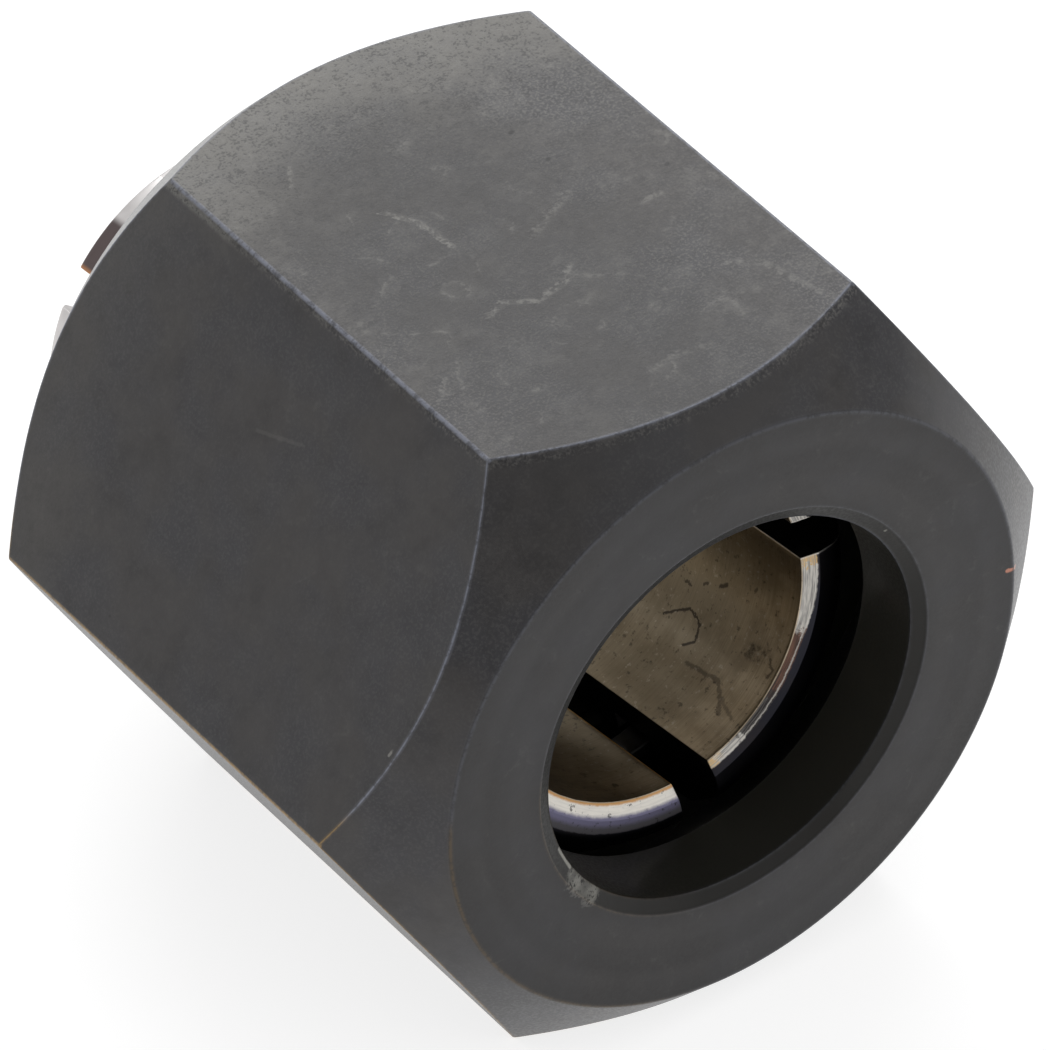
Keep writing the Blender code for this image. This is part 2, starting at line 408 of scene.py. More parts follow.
class Graph:
    """Adds nodes to a tree and links them in few words.

    What a method takes as a value, place or colour is a socket, or a plain value of that kind.
    """

    # Places of the Mix node's colours among its sockets, which share their names with others.
    FIRST_COLOUR, SECOND_COLOUR, MIXED_COLOUR = 6, 7, 2
    # Direction that places are shaken along, and share of a mark's half width that shows fully.
    SLANT = Vector((1.0, -0.7, 0.6))
    CORE = 0.35

    def __init__(self, tree: bpy.types.NodeTree) -> None:
        """Takes the tree to work in."""
        self.tree = tree

    def node(self, kind: str, feeds: dict | None = None, **settings: object) -> bpy.types.Node:
        """Adds a node.

        Args:
            kind: the node's type.
            feeds: a value for each input, by the input's name or number.
            **settings: properties to set on it.

        Returns:
            The node.
        """
        made = self.tree.nodes.new(kind)
        for name, value in settings.items():
            setattr(made, name, value)
        for key, value in (feeds or {}).items():
            self.feed(made.inputs[key], value)
        return made

    def feed(self, socket: Socket, value: object) -> None:
        """Links an input to an output socket, or gives it a plain value.

        Args:
            socket: the input.
            value: the output socket or the value.
        """
        if isinstance(value, Socket):
            self.tree.links.new(value, socket)
        else:
            socket.default_value = value

    def math(self, operation: str, *values: object) -> Socket:
        """Returns the result of a Math node."""
        return self.node("ShaderNodeMath", dict(enumerate(values)), operation=operation).outputs[0]

    def vector(self, operation: str, *values: object, **named: object) -> Socket:
        """Returns the result of a Vector Math node: a value for a dot product or a length, else a vector."""
        made = self.node("ShaderNodeVectorMath", {**dict(enumerate(values)), **named}, operation=operation)
        return made.outputs["Value" if operation in ("DOT_PRODUCT", "LENGTH") else "Vector"]

    def combine(self, x: object, y: object) -> Socket:
        """Returns a vector of two values."""
        return self.node("ShaderNodeCombineXYZ", {"X": x, "Y": y}).outputs[0]

    def parts(self, vector: Socket) -> list:
        """Returns the three parts of a vector."""
        return list(self.node("ShaderNodeSeparateXYZ", {0: vector}).outputs)

    def length(self, x: Socket, y: Socket) -> Socket:
        """Returns the length of a vector of two values."""
        return self.math("SQRT", self.math("ADD", self.times(x, x), self.times(y, y)))

    def times(self, *factors: object) -> Socket:
        """Returns the product of any number of values."""
        return reduce(partial(self.math, "MULTIPLY"), factors)

    def swing(self, value: Socket, reach: float) -> Socket:
        """Returns a value's distance from a half, times a reach."""
        return self.times(self.math("SUBTRACT", value, 0.5), reach)

    def fade(self, value: Socket, low: object, high: object, start: float = 0.0, end: float = 1.0) -> Socket:
        """Returns a smooth step of a value, from start at low to end at high."""
        feeds = dict(enumerate((value, low, high, start, end)))
        return self.node("ShaderNodeMapRange", feeds, interpolation_type="SMOOTHSTEP").outputs[0]

    def band(self, value: Socket, low: float, high: float, soft: float) -> Socket:
        """Returns one from low to high, and zero beyond soft edges that lie outside them."""
        return self.times(self.fade(value, low - soft, low), self.fade(value, high, high + soft, 1.0, 0.0))

    def noise(self, place: Socket, scale: float, detail: float, roughness: float) -> Socket:
        """Returns a noise with a scale in features a millimetre."""
        feeds = {"Vector": place, "Scale": scale, "Detail": detail, "Roughness": roughness}
        return self.node("ShaderNodeTexNoise", feeds).outputs["Fac"]

    def shake(self, place: Socket, value: Socket, reach: float) -> Socket:
        """Shifts coordinates along one slanting direction by a value round a half, to fray a line."""
        shift = self.vector("SCALE", self.SLANT * reach, Scale=self.math("SUBTRACT", value, 0.5))
        return self.vector("ADD", place, shift)

    def blend(self, factor: object, first: object, second: object) -> Socket:
        """Returns a mix of two colours, by the share of the second."""
        feeds = {"Factor": factor, self.FIRST_COLOUR: first, self.SECOND_COLOUR: second}
        return self.node("ShaderNodeMix", feeds, data_type="RGBA").outputs[self.MIXED_COLOUR]

    def layers(self, colour: object, *coats: tuple) -> Socket:
        """Lays colours over a first one, each through its mask.

        Args:
            colour: the colour below.
            *coats: pairs of a mask and a colour, in order.

        Returns:
            The colour's socket.
        """
        for mask, coat in coats:
            colour = self.blend(mask, colour, coat)
        return colour

    def trace(self, place: Socket, mark: Mark) -> Socket:
        """Returns the mask of a line drawn through a mark's points.

        Args:
            place: the coordinates' socket, in millimetres.
            mark: the mark.

        Returns:
            The mask's socket.
        """
        distances = []
        for start, end in zip(mark.points, mark.points[1:]):
            first = Vector((*start, 0.0)[:3])
            run = Vector((*end, 0.0)[:3]) - first
            offset = self.vector("SUBTRACT", place, first)
            shares = {0: self.vector("DOT_PRODUCT", offset, run), 1: 1.0 / run.length_squared}
            share = self.node("ShaderNodeMath", shares, operation="MULTIPLY", use_clamp=True)
            foot = self.vector("SCALE", run, Scale=share.outputs[0])
            distances.append(self.vector("LENGTH", self.vector("SUBTRACT", offset, foot)))
        nearest = reduce(partial(self.math, "MINIMUM"), distances)
        return self.fade(nearest, self.CORE * mark.width, mark.width, mark.strength, 0.0)

    def marks(self, place: Socket, marks: tuple) -> Socket:
        """Returns the mask of several marks together."""
        return reduce(partial(self.math, "MAXIMUM"), [self.trace(place, mark) for mark in marks])

    def bump(self, height: Socket, depth: float) -> Socket:
        """Returns the normal of a relief whose height of one stands for a depth in metres."""
        return self.node("ShaderNodeBump", {"Distance": depth, "Height": height}).outputs[0]


class Finish:
    """A procedural material on Object coordinates in millimetres."""

    def __init__(self, name: str) -> None:
        """Starts a material with a Principled shader and its coordinates.

        Args:
            name: name of the material.
        """
        self.material = bpy.data.materials.new(name)
        self.material.use_nodes = True
        self.graph = Graph(self.material.node_tree)
        self.shader = self.material.node_tree.nodes["Principled BSDF"]
        place = self.graph.node("ShaderNodeTexCoord").outputs["Object"]
        self.place = self.graph.vector("MULTIPLY", place, (1 / MM, 1 / MM, 1 / MM))

    def set(self, **values: object) -> None:
        """Feeds the shader's inputs, which are named with underscores for spaces."""
        for name, value in values.items():
            self.graph.feed(self.shader.inputs[name.replace("_", " ")], value)


class BlackOxide(Finish):
    """Black oxide on turned and milled steel: satin, clouded, with chalky streaks and a film of oil."""

    WARM = (0.0415, 0.0385, 0.0380, 1.0)
    COOL = (0.0362, 0.0352, 0.0388, 1.0)
    # Chalk colour, also laid as painted sheen on the top flat.
    CHALK_AND_SHEEN = (0.20, 0.194, 0.178, 1.0)
    DARK = (0.0122, 0.0113, 0.0116, 1.0)
    # Painted shade inside the nut's hollow, olive-tinted.
    HOLLOW_SHADE_OLIVE = (0.027, 0.0262, 0.0215, 1.0)
    SHADED = (0.014, 0.0135, 0.012, 1.0)
    # Edge colour: rubbed steel with a painted bluish sheen.
    EDGE_WEAR_AND_SHEEN = (0.19, 0.20, 0.24, 1.0)
    # Painted warm reflection for the edges of the low side.
    PAINTED_WARM_REFLECTION = (0.26, 0.17, 0.07, 1.0)
    BARE = (0.42, 0.41, 0.37, 1.0)
    COPPER = (0.42, 0.18, 0.12, 1.0)

    # Noises, as features in a millimetre, octaves and the weight of the finer ones.
    GRAIN = (14.0, 1.0, 0.6)
    CRUMBS = (4.8, 2.0, 0.85)
    CLOUD = (0.42, 2.0, 0.6)
    PATCHES = (1.1, 2.0, 0.7)
    RINGS = (1.1, 1.0, 0.5)
    RIDGES = (0.55, 1.0, 0.5)
    PIT_SCALE = 0.7

    # Heights between which the top flat begins, the factors that lay a place down on it, and the relief's depth.
    TOP_EDGE = (16.75, 16.9)
    FLATTEN = (1.0, 1.0, 0.0)
    RELIEF = 0.0045 * MM

    # Marks on the top flat, as places from the middle of the part.
    STREAKS = (
        Mark(((-1.85, 2.2), (-1.4, 1.4), (-1.3, 0.3)), 0.11, 0.75),
        Mark(((-2.55, 4.75), (-2.9, 4.2)), 0.08, 0.5),
        Mark(((-4.05, -3.3), (-4.55, -3.8)), 0.1, 0.6),
        Mark(((-2.05, -2.15), (-1.55, -1.95), (-0.9, -2.4), (0.0, -2.2), (0.35, -1.8)), 0.12, 0.65),
        Mark(((0.3, -0.5), (1.8, 0.25)), 0.16, 0.4),
        Mark(((2.9, -1.0), (3.4, -1.0)), 0.13, 0.5),
        Mark(((3.1, -3.8), (3.8, -4.4), (4.15, -5.9)), 0.15, 0.45),
        Mark(((-0.35, -5.8), (0.5, -5.7), (1.2, -5.95)), 0.15, 0.35),
    )
    PITS = (
        Mark(((2.0, 2.75), (2.06, 2.77)), 0.08),
        Mark(((2.1, 1.47), (2.14, 1.5)), 0.08),
        Mark(((4.08, -0.28), (4.12, -0.26)), 0.07),
    )
    # Marks on the other faces, as places in the part's frame.
    NICKS = (
        Mark(((4.12, -8.1, 11.42), (4.2, -8.1, 11.52)), 0.08, 0.8),
        Mark(((4.6, -8.1, 14.75), (4.64, -8.1, 14.79)), 0.05),
        Mark(((-8.34, -6.95, 11.1), (-8.4, -6.9, 10.95)), 0.05, 0.35),
        Mark(((-4.75, -7.93, 6.95), (-4.48, -7.93, 6.28)), 0.07, 0.5),
    )
    COPPER_NICK = Mark(((7.5, -8.1, 8.65), (7.85, -8.0, 8.55)), 0.07)
    SCUFF = Mark(((-4.46, -8.0, 6.0), (-3.98, -8.0, 5.25)), 0.32)
    # A broad painted shade over the middle of the top flat.
    PAINTED_SHADE_PATCH = Mark(((-1.3, 2.0, 17.0), (-1.0, -5.5, 17.0)), 5.0)
    FAINT = Mark(((-6.5, 0.6, 14.2), (-6.3, -0.9, 14.65)), 0.07, 0.5)

    def __init__(self, measures: Measures) -> None:
        """Builds the whole material.

        Args:
            measures: the part's shared sizes.
        """
        super().__init__("black_oxide")
        graph = self.graph
        self.measures = measures
        self.x, y, self.z = graph.parts(self.place)
        self.radius = graph.length(self.x, graph.math("SUBTRACT", self.z, measures.axis_height / MM))
        self.depth = graph.math("ADD", y, measures.nut_length / 2 / MM)
        self.top = graph.fade(self.z, *self.TOP_EDGE)
        self.grain = graph.noise(self.place, *self.GRAIN)
        self.crumbs = graph.noise(self.place, *self.CRUMBS)
        self.fine = graph.math("MULTIPLY_ADD", self.grain, 0.5, graph.times(self.crumbs, 0.5))
        self.cloud = graph.noise(self.place, *self.CLOUD)
        self.patches = graph.noise(self.place, *self.PATCHES)
        self.oily, self.bevel = self.mouth()
        self.rear = self.to_rear()
        deeper = graph.fade(self.rear, 1.0, 5.0, 1.6, 1.0)
        height = graph.times(self.fine, graph.fade(self.z, *self.TOP_EDGE, 0.6, 2.6), deeper)
        rear_chamfer = graph.fade(self.rear, -0.03, 0.03, 0.5, 1.0)
        self.set(
            Base_Color=self.colour(),
            Metallic=graph.fade(self.bevel, 0.0, 1.0, 0.4, 0.9),
            Roughness=graph.times(graph.fade(self.grain, 0.3, 0.7, 0.40, 0.54), rear_chamfer),
            Specular_IOR_Level=0.36,
            Coat_Weight=0.18,
            Coat_Roughness=0.14,
            Normal=graph.bump(height, self.RELIEF),
        )

    def to_rear(self) -> Socket:
        """Measures how far in front of the rear chamfer's edge a place is, along the nut.

        Returns:
            The distance's socket, in millimetres.
        """
        graph, sizes = self.graph, self.measures
        inset = graph.times(graph.math("SUBTRACT", self.radius, sizes.end_face_radius / MM), sizes.chamfer_slope)
        return graph.math("SUBTRACT", sizes.nut_length / MM, graph.math("ADD", self.depth, inset))

    def colour(self) -> Socket:
        """Lays clouds, grain, chalk with painted sheen on the top flat, pits, painted shade on the front face, the
        top flat's middle and the nut's hollow, rubbed edges with painted sheen, and listed marks over each other.

        Returns:
            The colour's socket.
        """
        graph, fade, times = self.graph, self.graph.fade, self.graph.times
        # The top flat gets more chalk, dust and dark crumbs: partly dust, partly painted sheen of the lit top.
        weight = fade(self.top, 0.0, 1.0, 0.2, 1.0)
        dust_and_top_sheen = times(fade(self.grain, 0.47, 0.66), fade(self.cloud, 0.35, 0.65, 0.3, 1.0),
                       fade(self.top, 0.0, 1.0, 0.07, 0.35))
        edge = graph.math("ADD", self.rear, graph.swing(self.cloud, 2.5))
        near_rear = times(fade(edge, 1.2, 8.0, 1.0, 0.75), weight)
        rings = graph.noise(graph.combine(self.radius, 0.0), *self.RINGS)
        # Painted shade: the whole front face is darkened, broken up by turning rings and clouds.
        face = times(fade(self.depth, 0.02, 0.05, 1.0, 0.0), fade(rings, 0.36, 0.64, 0.72, 1.05),
                     fade(self.cloud, 0.3, 0.7, 0.76, 0.60))
        return self.marked(graph.layers(
            graph.blend(fade(self.cloud, 0.34, 0.66), self.WARM, self.COOL),
            (fade(self.patches, 0.50, 0.74, 0.0, 0.28), self.DARK),
            (times(fade(self.patches, 0.30, 0.52, 0.13, 0.0), weight), self.CHALK_AND_SHEEN),
            (dust_and_top_sheen, self.CHALK_AND_SHEEN),
            (times(fade(edge, -0.2, 3.4, 0.44, 0.0), weight), self.CHALK_AND_SHEEN),
            (times(fade(edge, 1.0, 7.0, 0.10, 0.0), weight), self.CHALK_AND_SHEEN),
            (times(fade(self.fine, 0.475, 0.405, 0.0, 0.6), near_rear), self.DARK),
            (times(fade(self.fine, 0.53, 0.60, 0.0, 0.14), near_rear), self.CHALK_AND_SHEEN),
            # Painted shade over the middle of the top flat.
            (times(graph.trace(self.place, self.PAINTED_SHADE_PATCH), 0.40), self.DARK),
            (face, self.DARK),
            (self.chalk(), self.CHALK_AND_SHEEN),
            (self.pits(), self.DARK),
            # Painted shade: the nut's hollow is darker and olive.
            (self.oily, self.HOLLOW_SHADE_OLIVE),
            (times(self.bevel, 0.85), self.SHADED),
        ))

    def chalk(self) -> Socket:
        """Draws the broken chalky lines left where the bath dried.

        Returns:
            Their mask's socket.
        """
        graph, fade = self.graph, self.graph.fade
        frayed = graph.shake(self.place, self.crumbs, 0.4)
        ridge = graph.math("ABSOLUTE", graph.swing(graph.noise(frayed, *self.RIDGES), 1.0))
        broken = fade(self.crumbs, 0.42, 0.62, 0.2, 1.0)
        # The chalk lines are stronger on the top flat: partly chalk, partly painted sheen.
        level = fade(self.top, 0.0, 1.0, 0.05, 0.24)
        lines = graph.times(fade(ridge, 0.0, 0.02, 1.0, 0.0), fade(self.patches, 0.51, 0.39), broken, level)
        flat = graph.vector("MULTIPLY", frayed, self.FLATTEN)
        drawn = graph.times(graph.marks(flat, self.STREAKS), self.top, broken, 0.62)
        return graph.math("MAXIMUM", drawn, lines)

    def pits(self) -> Socket:
        """Draws small dark pits, some scattered and some at listed places.

        Returns:
            Their mask's socket.
        """
        graph = self.graph
        cells = graph.node("ShaderNodeTexVoronoi", {"Vector": self.place, "Scale": self.PIT_SCALE}, feature="F1")
        scattered = graph.fade(cells.outputs["Distance"], 0.02, 0.04, 0.5, 0.0)
        flat = graph.vector("MULTIPLY", self.place, self.FLATTEN)
        return graph.math("MAXIMUM", scattered, graph.times(graph.marks(flat, self.PITS), self.top))

    def mouth(self) -> tuple:
        """Finds the inside of the nut, painted darker and olive as painted shade in the hollow, and its mouth's
        bevel, painted darker as painted shade too.

        Returns:
            Both masks' sockets.
        """
        graph, fade = self.graph, self.graph.fade
        rim = (self.measures.mouth + self.measures.mouth_bevel) / MM
        within = fade(self.radius, rim - 0.05, rim, 1.0, 0.0)
        behind = fade(self.depth, 0.19, 0.22)
        hollow = graph.times(fade(self.depth, 0.5, 1.0), fade(self.radius, 8.0, 8.1, 1.0, 0.0))
        inside = graph.math("MAXIMUM", graph.times(within, behind), hollow)
        return inside, graph.times(within, graph.math("SUBTRACT", 1.0, behind))

    def marked(self, colour: Socket) -> Socket:
        """Adds edges rubbed lighter with a painted sheen on them, a painted warm reflection on the edges of the low
        side, and the marks on the front and the sides.

        Args:
            colour: the colour so far.

        Returns:
            The colour's socket.
        """
        graph, fade, times = self.graph, self.graph.fade, self.graph.times
        wear_and_sheen = graph.node("ShaderNodeAttribute", attribute_name=WEAR_AND_SHEEN).outputs["Fac"]
        # Inside the mouth the edge line shows fully only high up, as a painted highlight.
        sheen_high_in_mouth = graph.math("MAXIMUM", fade(self.radius, 5.1, 5.2), fade(self.z, 9.5, 12.0, 0.25, 1.0))
        worn_and_sheen = times(wear_and_sheen, fade(self.crumbs, 0.34, 0.56, 0.4, 1.0), sheen_high_in_mouth)
        # Painted warm reflection: edges on the low left side turn brassy.
        warm_reflection_side = times(fade(self.z, 9.6, 9.0), fade(self.x, 0.0, -4.0))
        shaken = graph.shake(self.place, self.crumbs, 0.12)
        ragged = graph.shake(graph.shake(self.place, self.crumbs, 1.1), self.grain, 0.5)
        torn = fade(self.patches, 0.36, 0.56, 0.35, 1.0)
        return graph.layers(
            colour,
            (worn_and_sheen, graph.blend(warm_reflection_side, self.EDGE_WEAR_AND_SHEEN, self.PAINTED_WARM_REFLECTION)),
            (graph.marks(shaken, self.NICKS), self.BARE),
            (graph.trace(shaken, self.COPPER_NICK), self.COPPER),
            (times(graph.trace(shaken, self.FAINT), 0.2), self.CHALK_AND_SHEEN),
            (times(graph.trace(ragged, self.SCUFF), torn, 0.34), self.BARE),
        )


class GroundSteel(Finish):
    """Ground steel of the collet: olive-brown and finely lined in the bore, painted bright round its entry with
    painted highlights and reflections, and painted dark as shade on its head and in its slits.
    """

    BORE = (0.31, 0.265, 0.195, 1.0)
    LIT = (0.54, 0.445, 0.32, 1.0)
    SHADE = (0.20, 0.165, 0.115, 1.0)
    OUTSIDE = (0.64, 0.62, 0.615, 1.0)
    BROWN_STAIN_AND_DARK_REFLECTION = (0.065, 0.045, 0.045, 1.0)
    ORANGE = (0.42, 0.20, 0.09, 1.0)
    HEAD = (0.026, 0.026, 0.033, 1.0)
    BLUED = (0.19, 0.18, 0.28, 1.0)
    RIM = (0.92, 0.88, 0.81, 1.0)
    TINTED = (0.105, 0.10, 0.11, 1.0)
    GREYED = (0.36, 0.345, 0.33, 1.0)
    GOLDEN = (0.80, 0.50, 0.15, 1.0)
    AMBER = (0.62, 0.30, 0.07, 1.0)
    COPPER = (0.21, 0.105, 0.07, 1.0)
    SOOT_AND_PAINTED_SHADE = (0.035, 0.03, 0.03, 1.0)
    # Near black for the slits' walls: painted shade.
    PAINTED_WALL_SHADE = (0.012, 0.0115, 0.011, 1.0)

    # Noises, as features in a millimetre, octaves and the weight of the finer ones.
    BLOTCH = (0.8, 3.0, 0.65)
    DUST = (6.0, 3.0, 0.7)
    LINES = (1.0, 1.0, 0.6)
    STREAKS = (1.6, 2.0, 0.7)

    # Factors that draw a noise out into lines round the axis, and the depth of these lines.
    GRINDING = (0.5, 0.5, 26.0)
    RELIEF = 0.0007 * MM

    # Degrees round the axis where the lower petals begin.
    LOWER = (-88.0, -86.0)

    # Stretches round the axis where painted reflections, highlights and glints lie, as where they begin and end and
    # how soft their ends are, in degrees.
    DARK_REFLECTION_SIDE = (122.0, 141.0, 3.0)
    ORANGE_REFLECTION_SIDE = (136.5, 141.0, 1.5)
    COPPER_REFLECTION_STRETCH = (-46.0, -26.0, 3.0)
    DARK_REFLECTION_STRETCH = (-61.0, -47.0, 3.0)
    HIGHLIGHT_LINE_STRETCH = (-78.0, -22.0, 4.0)
    LOW_GLINT = (-80.0, -74.0, 4.0)
    HIGH_GLINT = (-2.0, 5.0, 1.5)
    AMBER_EDGE = (-104.0, -87.0, 2.0)
    PALE_EDGE = (-18.0, 28.0, 3.0)

    # Marks in the bore, as distance round it and along it.
    SCRAWLS = (
        Mark(((-3.26, 0.9), (-2.95, 0.45), (-2.82, 0.2), (-2.98, -0.27), (-3.38, -0.41), (-3.61, -0.12)), 0.05, 0.85),
        Mark(((-3.88, -0.55), (-3.83, -1.15), (-3.79, -1.7), (-4.04, -2.0), (-4.38, -2.36)), 0.085, 0.5),
        Mark(((-4.04, -2.0), (-4.3, -2.75)), 0.07, 0.4),
        Mark(((-2.72, -2.75), (-2.9, -3.0), (-3.08, -2.95)), 0.055, 0.6),
    )
    SPECKS = (
        Mark(((-2.36, 0.5), (-2.33, 0.68)), 0.05, 0.7),
        Mark(((-2.14, 0.12), (-2.1, 0.02)), 0.05, 0.7),
        Mark(((-1.96, -0.43), (-1.86, -0.6)), 0.075, 0.8),
        Mark(((-1.57, -1.58), (-1.5, -1.62)), 0.06, 0.6),
        Mark(((-4.2, 1.5), (-4.22, 1.55)), 0.06, 0.5),
        Mark(((-7.5, -2.45), (-7.5, -2.5)), 0.08, 0.7),
    )
    SMUDGE = Mark(((-2.8, -2.1), (-2.72, -2.6)), 0.28)

    def __init__(self, collet: "SlitCollet") -> None:
        """Builds the whole material.

        Args:
            collet: the collet, whose axis, bore, front and slits the finish follows.
        """
        super().__init__("ground_steel")
        graph = self.graph
        sizes = collet.measures
        self.bore = sizes.bore / MM
        self.entry = (sizes.bore + collet.entry_width) / MM
        self.front = collet.front / MM
        self.rear = collet.rear / MM
        self.slit = collet.slit_width / 2 / MM
        self.rear_slit = collet.rear_slit_start / MM
        self.local = self.local_place(sizes.collet)
        x, y, self.along = graph.parts(self.local)
        self.radius = graph.length(x, y)
        self.turn = graph.math("ARCTAN2", graph.times(y, -1.0), x)
        self.degrees = graph.times(self.turn, 180.0 / math.pi)
        self.lower = graph.fade(self.degrees, *self.LOWER, 1.0, 0.0)
        self.blotch = graph.noise(self.local, *self.BLOTCH)
        self.dust = graph.noise(self.local, *self.DUST)
        self.ragged = graph.math("ADD", self.radius, graph.swing(self.dust, 0.07))
        self.inside = graph.fade(self.radius, self.bore + 0.015, self.bore + 0.04, 1.0, 0.0)
        lines = graph.noise(graph.vector("MULTIPLY", self.local, self.GRINDING), *self.LINES)
        face, to_limit = self.painted_entry_mask()
        wall, to_slit = self.walls(collet.first_slit)
        tail = graph.fade(self.along, self.rear - 2.5, self.rear - 1.5, 1.0, 0.15)
        colour = graph.blend(self.inside, self.outer(), self.bore_colour(lines))
        colour = self.slit_edges(graph.blend(face, colour, self.painted_entry_colour(to_limit)), to_slit)
        rough = graph.fade(lines, 0.3, 0.7, 0.30, 0.36)
        self.set(
            # Painted shade: the slits' walls are painted near black, less so near the tail.
            Base_Color=graph.blend(graph.times(wall, tail), colour, self.PAINTED_WALL_SHADE),
            Metallic=graph.math("SUBTRACT", 1.0, graph.times(face, 0.4)),
            Roughness=graph.math("MAXIMUM", rough, graph.times(graph.math("MAXIMUM", face, wall), 0.48)),
            Normal=graph.bump(lines, self.RELIEF),
        )

    def local_place(self, axis: TurningAxis) -> Socket:
        """Returns coordinates in millimetres whose Z runs along an axis."""
        feeds = {"Vector": self.place, "Location": axis.origin / MM, "Rotation": axis.matrix().to_euler()}
        return self.graph.node("ShaderNodeMapping", feeds, vector_type="TEXTURE").outputs[0]

    def bore_colour(self, lines: Socket) -> Socket:
        """Lays stains and the marks of the bore over its steel.

        Args:
            lines: the grinding lines.

        Returns:
            The colour's socket.
        """
        graph, fade = self.graph, self.graph.fade
        unrolled = graph.combine(graph.times(self.turn, self.bore), self.along)
        sheet = graph.shake(unrolled, self.dust, 0.22)
        smudged = graph.times(graph.trace(sheet, self.SMUDGE), fade(self.dust, 0.40, 0.62, 0.12, 0.6))
        return graph.layers(
            self.BORE,
            (fade(self.along, self.front + 0.2, self.front + 3.2, 0.9, 0.0), self.LIT),
            (fade(self.blotch, 0.40, 0.66, 0.0, 0.6), self.SHADE),
            (fade(lines, 0.35, 0.7, 0.0, 0.3), self.SHADE),
            (fade(self.dust, 0.58, 0.70, 0.0, 0.55), self.SOOT_AND_PAINTED_SHADE),
            (fade(self.dust, 0.40, 0.30, 0.0, 0.18), self.RIM),
            (smudged, self.SOOT_AND_PAINTED_SHADE),
            (graph.marks(sheet, self.SCRAWLS), self.SOOT_AND_PAINTED_SHADE),
            (graph.marks(sheet, self.SPECKS), self.SOOT_AND_PAINTED_SHADE),
        )

    def outer(self) -> Socket:
        """Colours the outside: a head painted near black as painted shade, a grey taper with brown blotches, and one
        side of the tail painted dark with an orange strip as painted reflections.

        Returns:
            The colour's socket.
        """
        graph, times = self.graph, self.graph.times
        blotch = graph.fade(self.blotch, 0.4, 0.7)
        tail = graph.fade(self.along, self.rear - 2.2, self.rear - 1.6)
        head = graph.fade(self.along, -0.6, -0.4, 1.0, 0.0)
        return graph.layers(
            self.OUTSIDE,
            (times(blotch, 0.2), self.BROWN_STAIN_AND_DARK_REFLECTION),
            # Painted reflections: one side of the tail is darkened, with a warm orange strip at its edge.
            (times(tail, graph.band(self.degrees, *self.DARK_REFLECTION_SIDE), 0.95), self.BROWN_STAIN_AND_DARK_REFLECTION),
            (times(tail, graph.band(self.degrees, *self.ORANGE_REFLECTION_SIDE), 0.8), self.ORANGE),
            # Painted shade: the head inside the nut is painted near black.
            (head, graph.blend(times(blotch, 0.6), self.HEAD, self.SOOT_AND_PAINTED_SHADE)),
        )

    def painted_entry_mask(self) -> tuple:
        """Finds the entry cone, which is painted bright as a painted highlight, and, on the lower petals, the face
        beside it.

        Returns:
            The mask's socket, and that of the distance to its outer limit.
        """
        graph, fade = self.graph, self.graph.fade
        near = fade(self.along, self.front + 0.35, self.front + 0.6, 1.0, 0.0)
        upper_limit = fade(self.degrees, -34.0, -6.0, self.entry - 0.2, self.entry - 0.07)
        to_limit = graph.math("SUBTRACT", self.ragged, graph.math("ADD", upper_limit, graph.times(self.lower, 0.5)))
        face = graph.times(near, fade(to_limit, 0.0, 0.04, 1.0, 0.0), graph.math("SUBTRACT", 1.0, self.inside))
        return face, to_limit

    def painted_entry_colour(self, to_limit: Socket) -> Socket:
        """Colours the entry with painted highlights and reflections: near white, with a painted copper reflection,
        painted dark stretches, soot, a blued border and painted golden glints.

        Args:
            to_limit: distance to the entry's outer limit.

        Returns:
            The colour's socket.
        """
        graph, fade, times, band = self.graph, self.graph.fade, self.graph.times, self.graph.band
        ringed = graph.combine(times(self.turn, 4.0), times(self.radius, 16.0))
        streaks = fade(graph.noise(ringed, *self.STREAKS), 0.40, 0.62)
        around = graph.math("ADD", self.degrees, graph.swing(self.dust, 14.0))
        rim_highlight = times(band(to_limit, -0.03, -0.01, 0.012), band(around, *self.HIGHLIGHT_LINE_STRETCH), 0.6)
        border = times(self.lower, fade(self.ragged, self.entry - 0.14, self.entry - 0.03))
        beyond = fade(self.ragged, self.entry + 0.06, self.entry + 0.22)
        glints = graph.math("MAXIMUM", band(around, *self.LOW_GLINT), band(around, *self.HIGH_GLINT))
        return graph.layers(
            # Painted highlight: the entry's base colour is near white, standing in for the light it reflects.
            self.RIM,
            (times(streaks, fade(self.degrees, *self.LOWER, 0.15, 0.85)), self.GREYED),
            (band(around, *self.COPPER_REFLECTION_STRETCH), graph.blend(times(streaks, 0.85), self.COPPER, self.SOOT_AND_PAINTED_SHADE)),
            (times(band(around, *self.DARK_REFLECTION_STRETCH), fade(streaks, 0.0, 1.0, 0.86, 1.0)), self.SOOT_AND_PAINTED_SHADE),
            (rim_highlight, self.RIM),
            (fade(self.lower, 0.0, 1.0, 0.2, 0.0), self.SOOT_AND_PAINTED_SHADE),
            (border, graph.blend(beyond, self.BLUED, self.TINTED)),
            (times(self.lower, fade(self.dust, 0.60, 0.68), 0.75), self.SOOT_AND_PAINTED_SHADE),
            (times(self.lower, fade(self.ragged, self.bore + 0.05, self.bore + 0.11, 0.9, 0.0)), self.AMBER),
            (times(glints, fade(streaks, 0.0, 1.0, 0.75, 0.2)), self.GOLDEN),
        )

